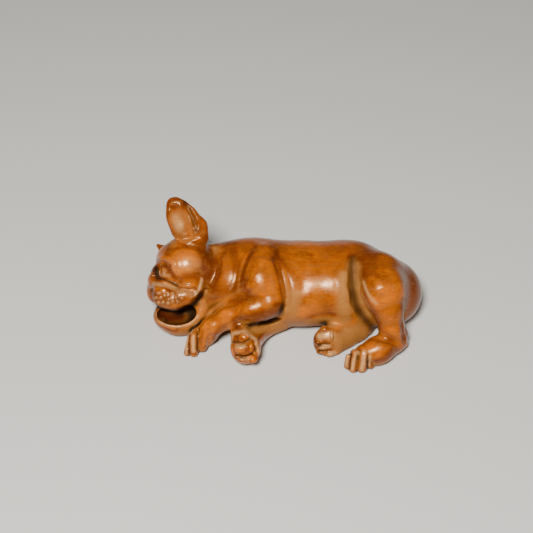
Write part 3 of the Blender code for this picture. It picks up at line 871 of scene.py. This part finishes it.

# Painted shade along the edges of the limbs and of the ear, and over the tops of the paws
PAINTED_SHADE: Bands = (
    # Head
    (0.6, 1.6, ((-30.5, 20.5), (-28.6, 16), (-29.4, 12.6))),
    (0.5, 1.8, ((-36, 12.4), (-31.8, 12.6))),
    (0.6, 3, ((-38.6, 37), (-37, 28.6))),
    (0.9, 2.2, ((-27, 24.5), (-25.4, 18.9), (-24.9, 13.8), (-27.2, 9.5))),
    # Body and legs
    (0.6, 0.8, ((-1, -5.7), (7, -6.2), (13, -6.2))),
    (0.9, 0.7, ((-10.2, 22.9), (-13.1, 18.9), (-14.9, 13.8), (-15.6, 9))),
    (0.8, 0.8, ((-3, 21), (-1.2, 15), (0.3, 9), (0.6, 3.5))),
    (1, 2.4, ((-2.2, 1), (-5, -1.8), (-10.5, -3), (-16, -4.4))),
    (1, 1.6, ((27, 17.5), (27.4, 9.1), (29.6, 2.5), (33.6, -4.4))),
    (1, 3.4, ((45.6, 12), (48.4, 3.6), (46.8, -4))),
    (0.7, 1, ((43.4, 4), (43.4, -4), (44.2, -10.5))),
    # Paws
    (0.8, 1.2, ((-27.4, -13.6), (-24.5, -9.8), (-21.5, -6.4))),
    (0.8, 1.6, ((33, -20.4), (36.4, -17.6), (40, -14.6))),
    (0.8, 1, ((11.2, -10.2), (11.4, -13.6), (12.6, -16))))

# Wear with painted highlights and sheen: lid, lips, jaw rim and ear bowl, a painted highlight streak
# on the thigh, and toes and soles round the pads
WORN_AND_SHEEN: Bands = (
    # Head
    (0.5, 0.6, ((-43.2, 14.4), (-44.4, 12.4), (-41.5, 12.6))),
    (0.5, 0.8, ((-47.3, 9.6), (-43, 9), (-39, 7.6))),
    (0.2, 3, ((-38.6, 16), (-33, 17))),
    (0.35, 1.4, ((-38, 6.8), (-33.5, 6.2))),
    (1, 0.4, ((-29.9, 11.2), (-31.1, 7.1), (-32.4, 5.2))),
    (0.6, 0.55, ((-47.4, 0.4), (-45.6, -4), (-42.6, -5.6), (-38.8, -6.1), (-34.6, -5.2),
                 (-31.3, -2.2))),
    (0.5, 1.7, ((-39.4, 33.4), (-38.2, 30))),
    # Body and legs
    (0.8, 0.4, ((28.9, 10.2), (30, 6.9), (31.6, 4.2), (33.6, 2.2))),
    # Paws
    (0.8, 0.5, ((-32.3, -5.8), (-35.2, -10), (-35.6, -15.8))),
    (0.9, 0.8, ((-33, -10), (-32.9, -14.8))),
    (0.8, 0.7, ((26, -12.8), (23.4, -16), (22.7, -20))),
    (0.9, 0.75, ((26.7, -15.6), (25.5, -18.4), (24.8, -21.4))),
    (0.9, 0.85, ((29.2, -15.4), (28.8, -19), (28.3, -21.4))),
    (0.8, 0.4, ((31.2, -16.6), (31, -20.4))),
    (0.8, 0.6, ((-19.6, -12.4), (-18.8, -8.6), (-14.6, -7.9), (-10.4, -10.6), (-8.9, -16))),
    (0.8, 0.8, ((-17.2, -13.2), (-14.6, -13.2))),
    (0.7, 0.5, ((-15.8, -17.7), (-13, -17.9))),
    (0.8, 1.3, ((13, -9.6), (16.8, -9))),
    (0.8, 0.9, ((13.6, -13.4), (16, -13.2))),
    (0.8, 0.9, ((16.6, -16), (18.2, -15.8))))

# Nose, shut eye and tongue
DEEP: Bands = (
    (1, 2, ((-47.4, 15.8), (-46.2, 12.6))),
    (0.8, 0.9, ((-45, 16), (-42.4, 15.6), (-40.6, 12.8), (-39.3, 11.3))),
    (1, 2.2, ((-45, -1.8), (-41.5, -2.8), (-37.5, -2.4))))

# Painted near-black shadow in the pits and creases of the face, the gap of the mouth, the recesses and
# the toes' grooves
DARK: Bands = (
    # Head
    (1, 0.9, ((-46.3, 15), (-46, 12.4))),
    (0.9, 0.5, ((-46.2, 11.5), (-43.4, 11.1), (-38.8, 9.2))),
    (0.5, 0.8, ((-47.4, 6.4), (-46.8, 3.4))),
    (1, 0.8, ((-47.4, 1.8), (-43.5, 0), (-38.4, -0.5))),
    (1, 1.4, ((-38.4, -0.4), (-34.5, 0.6), (-31.8, 2.7), (-30.3, 5.8))),
    (0.75, 1, ((-36, 39.6), (-34.9, 37.4), (-33.1, 33.4), (-31.9, 28.8))),
    # Body and legs
    (1, 1, ((-0.5, 1.6), (-1.5, -2.2), (-4.8, -4), (-8.6, -4.9), (-12, -5.2))),
    (0.8, 1.6, ((24.8, 18.5), (24.9, 12.7), (25.1, 6.5), (26.7, 0.4), (30.4, -4.4), (33.6, -8.2))),
    # Paws
    (0.9, 0.45, ((-34.2, -9.2), (-34.7, -13.1), (-34.4, -16.5))),
    (0.9, 0.45, ((-30.9, -6.9), (-31.6, -10.5), (-31.5, -14.7))),
    (0.9, 0.45, ((24.6, -15), (23.9, -18.4), (23.7, -21.5))),
    (0.9, 0.45, ((27.5, -14.8), (26.7, -18), (26.4, -22.2))),
    (0.9, 0.45, ((30.3, -15), (30.2, -18.5), (30.4, -21.4))),
    (0.9, 0.45, ((-18.4, -11.6), (-15, -12), (-12.6, -10.8))),
    (1, 0.5, ((-17.6, -16.4), (-14.5, -16.9), (-11.6, -15.8))),
    (0.8, 0.4, ((12.2, -12.4), (16.4, -12.2))),
    (0.8, 0.4, ((12.8, -14.8), (17, -14.4))))
STAINS = tuple(Stain(tint, *band) for tint, bands in zip(Tint, (PALE, PAINTED_SHADE, WORN_AND_SHEEN, DEEP, DARK))
               for band in bands)


def neighbour_mean(mesh: bpy.types.Mesh, values: Array) -> Array:
    """Mean over the vertices that each vertex shares an edge with.

    Args:
        mesh: the mesh that the vertices belong to.
        values: one row of values for each vertex.

    Returns:
        One row of means for each vertex.
    """
    ends = np.empty(len(mesh.edges) * 2, np.int32)
    mesh.edges.foreach_get("vertices", ends)
    ends = ends.reshape(-1, 2)
    count = np.maximum(np.bincount(ends.ravel(), minlength=len(values)), 1)
    total = np.zeros_like(values)
    for axis in range(values.shape[1]):
        for near, far in ((0, 1), (1, 0)):
            total[:, axis] += np.bincount(ends[:, near], values[ends[:, far], axis], len(values))
    return total / count[:, None]


def read_vertices(mesh: bpy.types.Mesh, what: str = "co") -> Array:
    """Places of the mesh's vertices, or another vector that each holds.

    Args:
        mesh: the mesh that is read.
        what: name of the vector.

    Returns:
        One row for each vertex.
    """
    values = np.empty(len(mesh.vertices) * 3, np.float32)
    mesh.vertices.foreach_get(what, values)
    return values.reshape(-1, 3).astype(float)


@dataclass(frozen=True)
class Ramp:
    """A share that rises in a straight line with a measure, eased at both ends."""

    slope: float
    start: float

    def at(self, measure: Array) -> Array:
        """Share at each value of the measure."""
        return ease(self.slope * measure - self.start)


@dataclass
class Figure:
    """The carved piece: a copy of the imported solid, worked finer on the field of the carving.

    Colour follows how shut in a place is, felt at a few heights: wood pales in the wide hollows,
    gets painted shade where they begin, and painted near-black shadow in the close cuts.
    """

    carving: Carving
    grain: float = GRAIN
    fine_places: tuple[tuple[Seen, Seen], ...] = (
        ((-49.5, -7), (-29, 16.5)), ((-36, -18), (-30, -6)), ((-20, -19), (-8, -7)),
        ((10, -18), (19, -6)), ((21.5, -23), (32.5, -14)))
    settle_rounds: int = 5
    finish_rounds: int = 3
    still_rounds: int = 2
    wide: tuple[float, ...] = (2.5, 5, 11)
    close: tuple[float, ...] = (0.8, 1.6)
    palest: float = 0.65
    pales: Ramp = Ramp(1.6, 0.35)
    # Painted shade rises where the wide hollows begin and fades out deeper in
    shade_ramp: Ramp = Ramp(5.5, 0.22)
    shade_fade: Ramp = Ramp(2.6, 0.4)
    # Painted near-black shadow rises in the close cuts
    shadow_ramp: Ramp = Ramp(2.6, 1.1)
    faces: Ramp = Ramp(2, -0.5)
    stains: tuple[Stain, ...] = ()
    soak: int = 2
    piece: bpy.types.Object | None = None

    def build(self, node: bpy.types.Object) -> bpy.types.Object:
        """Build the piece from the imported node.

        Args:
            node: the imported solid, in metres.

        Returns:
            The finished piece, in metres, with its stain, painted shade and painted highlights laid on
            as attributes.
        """
        bpy.ops.object.select_all(action="DESELECT")
        piece = self.piece = node.copy()
        piece.data = node.data.copy()
        piece.name = piece.data.name = "dog_finish"
        piece.parent = None
        piece.matrix_world = Matrix.Identity(4)
        bpy.context.scene.collection.objects.link(piece)
        bpy.context.view_layer.objects.active = piece
        piece.select_set(True)
        self.weld()
        piece.data.transform(TO_FRAME.inverted())
        self.remesh(self.grain)
        self.settle(self.settle_rounds)
        self.refine()
        self.settle(self.finish_rounds)
        self.stain()
        piece.data.transform(TO_FRAME)
        piece.data.shade_smooth()
        return piece

    def weld(self) -> None:
        """Join vertices that lie in one place."""
        bpy.ops.object.mode_set(mode="EDIT")
        bpy.ops.mesh.select_all(action="SELECT")
        bpy.ops.mesh.remove_doubles(threshold=UNIT * FEELER)
        bpy.ops.object.mode_set(mode="OBJECT")

    def remesh(self, grain: float) -> None:
        """Lay an even mesh of that grain over the piece.

        Args:
            grain: size of its squares, in units.
        """
        modifier = self.piece.modifiers.new("Grain", "REMESH")
        modifier.mode = "VOXEL"
        modifier.voxel_size = grain
        bpy.ops.object.modifier_apply(modifier=modifier.name)

    def refine(self) -> None:
        """Lay a mesh twice as fine over the face and the paws, where they face the viewer."""
        mesh = self.piece.data
        seen = read_vertices(mesh) @ VIEW.axes.T
        chosen = np.zeros(len(seen), bool)
        for low, high in self.fine_places:
            chosen |= ((seen[:, :2] > low) & (seen[:, :2] < high)).all(axis=1)
        chosen &= read_vertices(mesh, "normal") @ VIEW.axes[2] > 0
        mesh.polygons.foreach_set("select", np.zeros(len(mesh.polygons), bool))
        mesh.edges.foreach_set("select", np.zeros(len(mesh.edges), bool))
        mesh.vertices.foreach_set("select", chosen)
        bpy.ops.object.mode_set(mode="EDIT")
        bpy.context.tool_settings.mesh_select_mode = (True, False, False)
        bpy.ops.mesh.subdivide(number_cuts=1)
        bpy.ops.object.mode_set(mode="OBJECT")

    def stain(self) -> None:
        """Lay the stain, the painted shade and the painted highlights on as attributes, one for each
        tint.
        """
        mesh = self.piece.data
        points = read_vertices(mesh)
        outward = self.carving.feel(points)[1]
        seen = as_seen(points)
        facing = self.faces.at(outward @ VIEW.axes[2])
        shut = self.hollow(points, outward, self.wide)
        drawn = {tint: np.zeros(len(points)) for tint in Tint}
        for stain in self.stains:
            drawn[stain.tint] = np.maximum(drawn[stain.tint], stain.strength(seen) * facing)
        bare = 1 - drawn[Tint.DEEP]
        # Painted shade where the wide hollows begin and painted shadow in the close cuts, both kept
        # off the nose and tongue
        found = {Tint.PALE: self.palest * self.pales.at(shut),
                 Tint.PAINTED_SHADE: self.shade_ramp.at(shut) * (1 - self.shade_fade.at(shut)) * bare,
                 Tint.DARK: self.shadow_ramp.at(self.hollow(points, outward, self.close)) * bare}
        values = np.clip(np.stack([drawn[tint] + found.get(tint, 0) for tint in Tint], axis=1), 0, 1)
        for _ in range(self.soak):
            values = (values + neighbour_mean(mesh, values)) / 2
        for tint, value in zip(Tint, values.T):
            layer = mesh.attributes.new(tint.value, "FLOAT", "POINT")
            layer.data.foreach_set("value", value.astype(np.float32))

    def hollow(self, points: Array, outward: Array, heights: tuple[float, ...]) -> Array:
        """How shut in each point is, from 0 in the open to 1.

        Args:
            points: places on the surface, in units.
            outward: direction out of the surface at each.
            heights: how far out the room is felt, in units.

        Returns:
            Mean share of the room that is taken up, by the figure or by the table.
        """
        shut = np.zeros(len(points))
        for height in heights:
            there = points + height * outward
            room = np.minimum(self.carving.distance(there), np.maximum(there[:, 2], 0))
            shut += np.clip(1 - room / height, 0, 1) / len(heights)
        return shut

    def settle(self, rounds: int) -> None:
        """Move the vertices onto the carved surface and even out their spacing along it.

        Args:
            rounds: how many times they are moved.
        """
        mesh = self.piece.data
        points = read_vertices(mesh)
        for turn in range(rounds):
            away, outward = self.carving.feel(points)
            points -= np.clip(away, -1, 1)[:, None] * outward
            if turn < rounds - self.still_rounds:
                drift = neighbour_mean(mesh, points) - points
                drift -= (drift * outward).sum(axis=1, keepdims=True) * outward
                points += drift / 2
        points[:, 2] = np.where(points[:, 2] < 2 * FEELER, 0, points[:, 2])
        mesh.vertices.foreach_set("co", points.astype(np.float32).ravel())
        mesh.update()


def linear(code: str) -> tuple[float, float, float, float]:
    """Colour for a shader, from an sRGB hex value."""
    parts = [int(code[i:i + 2], 16) / 255 for i in (1, 3, 5)]
    return (*(v / 12.92 if v <= 0.04045 else ((v + 0.055) / 1.055) ** 2.4 for v in parts), 1.0)


def new_material(name: str) -> tuple[bpy.types.Material, Tree, bpy.types.Node]:
    """Make a material, and give it with its node tree and its shader.

    Args:
        name: the material's name.

    Returns:
        The material, its node tree and its shader.
    """
    material = bpy.data.materials.new(name)
    material.use_nodes = True
    return material, material.node_tree, material.node_tree.nodes["Principled BSDF"]


def feed(tree: Tree, node: bpy.types.Node, inputs: dict) -> None:
    """Give inputs of a node, by name or number, each a socket or a fixed value.

    Args:
        tree: the material's node tree.
        node: the node whose inputs they are.
        inputs: a socket or a fixed value, by the name or number of the input.
    """
    for name, value in inputs.items():
        if isinstance(value, Socket):
            tree.links.new(value, node.inputs[name])
        else:
            node.inputs[name].default_value = value


def add_node(tree: Tree, kind: str, inputs: dict, out: str | int = 0,
             **settings: object) -> Socket:
    """Add a node to a material.

    Args:
        tree: the material's node tree.
        kind: the node's type name.
        inputs: a socket or a fixed value, by the name or number of the input.
        out: name or number of the output that is wanted.
        settings: properties of the node itself.

    Returns:
        The output.
    """
    node = tree.nodes.new(kind)
    for name, value in settings.items():
        setattr(node, name, value)
    feed(tree, node, inputs)
    return node.outputs[out]


@dataclass(frozen=True)
class Marks:
    """Marks in the wood: length and width in millimetres, and the noise where they start and end."""

    length: float
    width: float
    low: float
    high: float


@dataclass(frozen=True)
class WaxedBoxwood:
    """Boxwood, a pale and very dense wood, cut with gouges, stained and polished with wax by hand.

    The stain is a saturated orange-brown on all that stands out and is rubbed. In hollows and
    under the limbs the wood stays paler, greyer and unpolished. Painted shade deepens the edges of
    the limbs, painted near-black shadow fills the deepest cuts, and painted highlights lie with the
    wear on rubbed places.
    """

    stain: str = "#CC6002"
    ember: str = "#742A02"
    honey: str = "#DE8C0A"
    bare: str = "#945E2A"
    # Colour of the wear and of the painted highlights
    worn_and_sheen: str = "#C49660"
    # Colour of the painted shade
    painted_shade: str = "#521D03"
    hair: str = "#4E220A"
    # Colour of the painted near-black shadow
    nose: str = "#451607"
    shadow_black: str = "#140A05"
    wax: str = "#FFBE78"
    # Short hair-like marks along the figure's length, broad mottling, flecks and streaks. A real
    # hair is 0.1 mm wide, and it is drawn wider so that it shows
    hairs: Marks = Marks(1.8, 0.2, 0.52, 0.7)
    mottling: Marks = Marks(7, 7, 0.42, 0.66)
    flecks: Marks = Marks(1.5, 0.6, 0.3, 0.75)
    streaks: Marks = Marks(3.75, 1.5, 0.3, 0.7)
    # Roughness and weight of the wax where polished and where dull, and depth of the marks in mm
    rough: tuple[float, float] = (0.24, 0.6)
    coat: tuple[float, float] = (0.16, 0.01)
    coat_rough: float = 0.12
    bump: float = 0.35
    mark_depth: float = 0.03

    def build(self) -> bpy.types.Material:
        """Build the material.

        Returns:
            The new material.
        """
        material, tree, shader = new_material(SLOT)
        place = add_node(tree, "ShaderNodeTexCoord", {}, "Object")
        pale, painted_shade, worn_and_sheen, deep, painted_shadow = (
            add_node(tree, "ShaderNodeAttribute", {}, "Fac", attribute_name=tint.value)
            for tint in Tint)
        hair, mottle, fleck, streak = (self.noise(tree, place, marks) for marks in
                                       (self.hairs, self.mottling, self.flecks, self.streaks))
        broken = add_node(tree, "ShaderNodeMath", {0: pale, 1: self.scaled(tree, streak, 0.5)},
                          operation="ADD")
        rubbed = self.level(tree, broken, 0.25, 1.05)
        colour = linear(self.stain)
        # Each colour laid over the ones before, where it shows, and how much of it at most
        # The painted shade, the wear with its painted highlights and the painted near-black shadow are
        # laid in here too
        for code, share, most in (
                (self.ember, mottle, 1), (self.honey, fleck, 0.4), (self.ember, streak, 0.5),
                (self.painted_shade, painted_shade, 0.9), (self.bare, rubbed, 1), (self.worn_and_sheen, worn_and_sheen, 0.8),
                (self.hair, hair, 0.35), (self.nose, deep, 1), (self.shadow_black, painted_shadow, 1)):
            layer = {0: self.scaled(tree, share, most), 6: colour, 7: linear(code)}
            colour = add_node(tree, "ShaderNodeMix", layer, 2, data_type="RGBA")
        dull = add_node(tree, "ShaderNodeMath", {0: rubbed, 1: painted_shadow}, operation="MAXIMUM")
        rough, coat = (
            add_node(tree, "ShaderNodeMapRange", {"Value": dull, "To Min": low, "To Max": high})
            for low, high in (self.rough, self.coat))
        height = add_node(tree, "ShaderNodeMath", {0: hair, 1: fleck}, operation="ADD")
        bump = add_node(tree, "ShaderNodeBump", {
            "Height": height, "Strength": self.bump, "Distance": self.mark_depth * MILLIMETRE},
            invert=True)
        feed(tree, shader, {
            "Base Color": colour, "Roughness": rough, "Coat Weight": coat,
            "Coat Roughness": self.coat_rough, "Specular IOR Level": 0.5,
            "Specular Tint": linear(self.wax), "IOR": 1.5, "Normal": bump, "Coat Normal": bump})
        return material

    def noise(self, tree: Tree, place: Socket, marks: Marks) -> Socket:
        """Scatter marks of a real size over the wood.

        Args:
            tree: the material's node tree.
            place: the coordinates that the marks follow.
            marks: their size and levels.

        Returns:
            Socket with the share of a mark, from 0 to 1.
        """
        scale = tuple(1 / (size * MILLIMETRE) for size in (marks.length, marks.width, marks.width))
        mapped = add_node(tree, "ShaderNodeMapping", {"Vector": place, "Scale": scale})
        noise = add_node(tree, "ShaderNodeTexNoise", {
            "Vector": mapped, "Scale": 1.0, "Detail": 3.0, "Roughness": 0.6}, "Fac")
        return self.level(tree, noise, marks.low, marks.high)

    def level(self, tree: Tree, share: Socket, low: float, high: float) -> Socket:
        """A share stretched to run from 0 at the low level to 1 at the high one."""
        return add_node(tree, "ShaderNodeMapRange", {
            "Value": share, "From Min": low, "From Max": high}, clamp=True)

    def scaled(self, tree: Tree, share: Socket, factor: float) -> Socket:
        """A share made weaker by a factor, or left alone where that is 1.

        Args:
            tree: the material's node tree.
            share: the share as it is.
            factor: what is left of it.

        Returns:
            The weaker share.
        """
        if factor == 1:
            return share
        return add_node(tree, "ShaderNodeMath", {0: share, 1: factor}, operation="MULTIPLY")


@dataclass(frozen=True)
class PalePaper:
    """Matt pale studio paper, which gives a soft, even ground with no gloss."""

    colour: str = "#C6C2BB"
    rough: float = 0.85

    def build(self) -> bpy.types.Material:
        """Build the material.

        Returns:
            The new material.
        """
        material, tree, shader = new_material("pale_paper")
        feed(tree, shader, {"Base Color": linear(self.colour), "Roughness": self.rough})
        return material


@dataclass(frozen=True)
class Softbox:
    """A round soft light: bearing and height in degrees from the figure, reach and size in metres,
    and power in watts.
    """

    name: str
    bearing: float
    height: float
    reach: float
    size: float
    power: float

    def place(self) -> None:
        """Hang the light, turned towards the figure."""
        bearing, height = math.radians(self.bearing), math.radians(self.height)
        towards = Vector((math.sin(bearing) * math.cos(height), -math.cos(bearing) * math.cos(height),
                          math.sin(height)))
        light = bpy.data.lights.new(self.name, "AREA")
        light.shape = "DISK"
        light.size = self.size
        light.energy = self.power
        lamp = bpy.data.objects.new(self.name, light)
        bpy.context.scene.collection.objects.link(lamp)
        lamp.location = towards * self.reach
        lamp.rotation_euler = towards.to_track_quat("Z", "Y").to_euler()


@dataclass
class Studio:
    """Pale floor, soft light, and the camera at the photograph's viewing angle."""

    floor_width: float = 6.0
    # Focal length of the photograph's view against its width, and the film's width in millimetres
    zoom: float = 1133 / 533
    film: float = 36.0
    lights: tuple[Softbox, ...] = (
        Softbox("key", -14, 54, 0.6, 0.14, 7.2), Softbox("fill", 65, 35, 0.8, 0.4, 0.4),
        Softbox("back", 178, 4, 0.9, 0.12, 0.05))
    sky: str = "#E6E2DA"
    sky_strength: float = 0.14

    def build(self) -> None:
        """Set up the floor, the lights, the sky and the camera."""
        bpy.ops.object.select_all(action="DESELECT")
        bpy.ops.mesh.primitive_plane_add(size=self.floor_width)
        floor = bpy.context.active_object
        floor.name = "floor"
        floor.data.materials.append(PalePaper().build())
        for light in self.lights:
            light.place()
        world = bpy.data.worlds.new("studio")
        world.use_nodes = True
        background = world.node_tree.nodes["Background"]
        background.inputs["Color"].default_value = linear(self.sky)
        background.inputs["Strength"].default_value = self.sky_strength
        bpy.context.scene.world = world
        self.place_camera()

    def place_camera(self) -> None:
        """Put the camera where the photograph was taken from."""
        lens = bpy.data.cameras.new("camera")
        lens.sensor_width = self.film
        lens.lens = self.film * self.zoom
        lens.clip_start = 0.01
        camera = bpy.data.objects.new("camera", lens)
        bpy.context.scene.collection.objects.link(camera)
        camera.location = TO_FRAME @ Vector(VIEW.at(*EYE_SHIFT, EYE_DISTANCE))
        camera.rotation_euler = (math.radians(90 - EYE_SLANT), 0, 0)
        bpy.context.scene.camera = camera


def main() -> None:
    """Build the piece, dress it and set up the camera, light and floor."""
    logging.basicConfig(level=logging.INFO, format="%(name)s: %(message)s")
    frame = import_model()
    dog = Carving()
    head = Head()
    whiskers = Whiskers()
    Trunk().carve(dog)
    head.carve(dog)
    Ears().carve(dog, head.stance)
    Forelegs().carve(dog)
    HindLegs().carve(dog)
    whiskers.carve(dog)
    dog.land_lines()
    figure = Figure(dog, GRAIN, stains=STAINS + whiskers.stains())
    piece = figure.build(frame["nodes"][NODE])
    piece.data.materials.clear()
    piece.data.materials.append(WaxedBoxwood().build())
    LOG.info("%s: %d vertices, %d faces", piece.name, len(piece.data.vertices),
             len(piece.data.polygons))
    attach(piece, BODY)
    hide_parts(NODE)
    Studio().build()


if __name__ == "__main__":
    main()
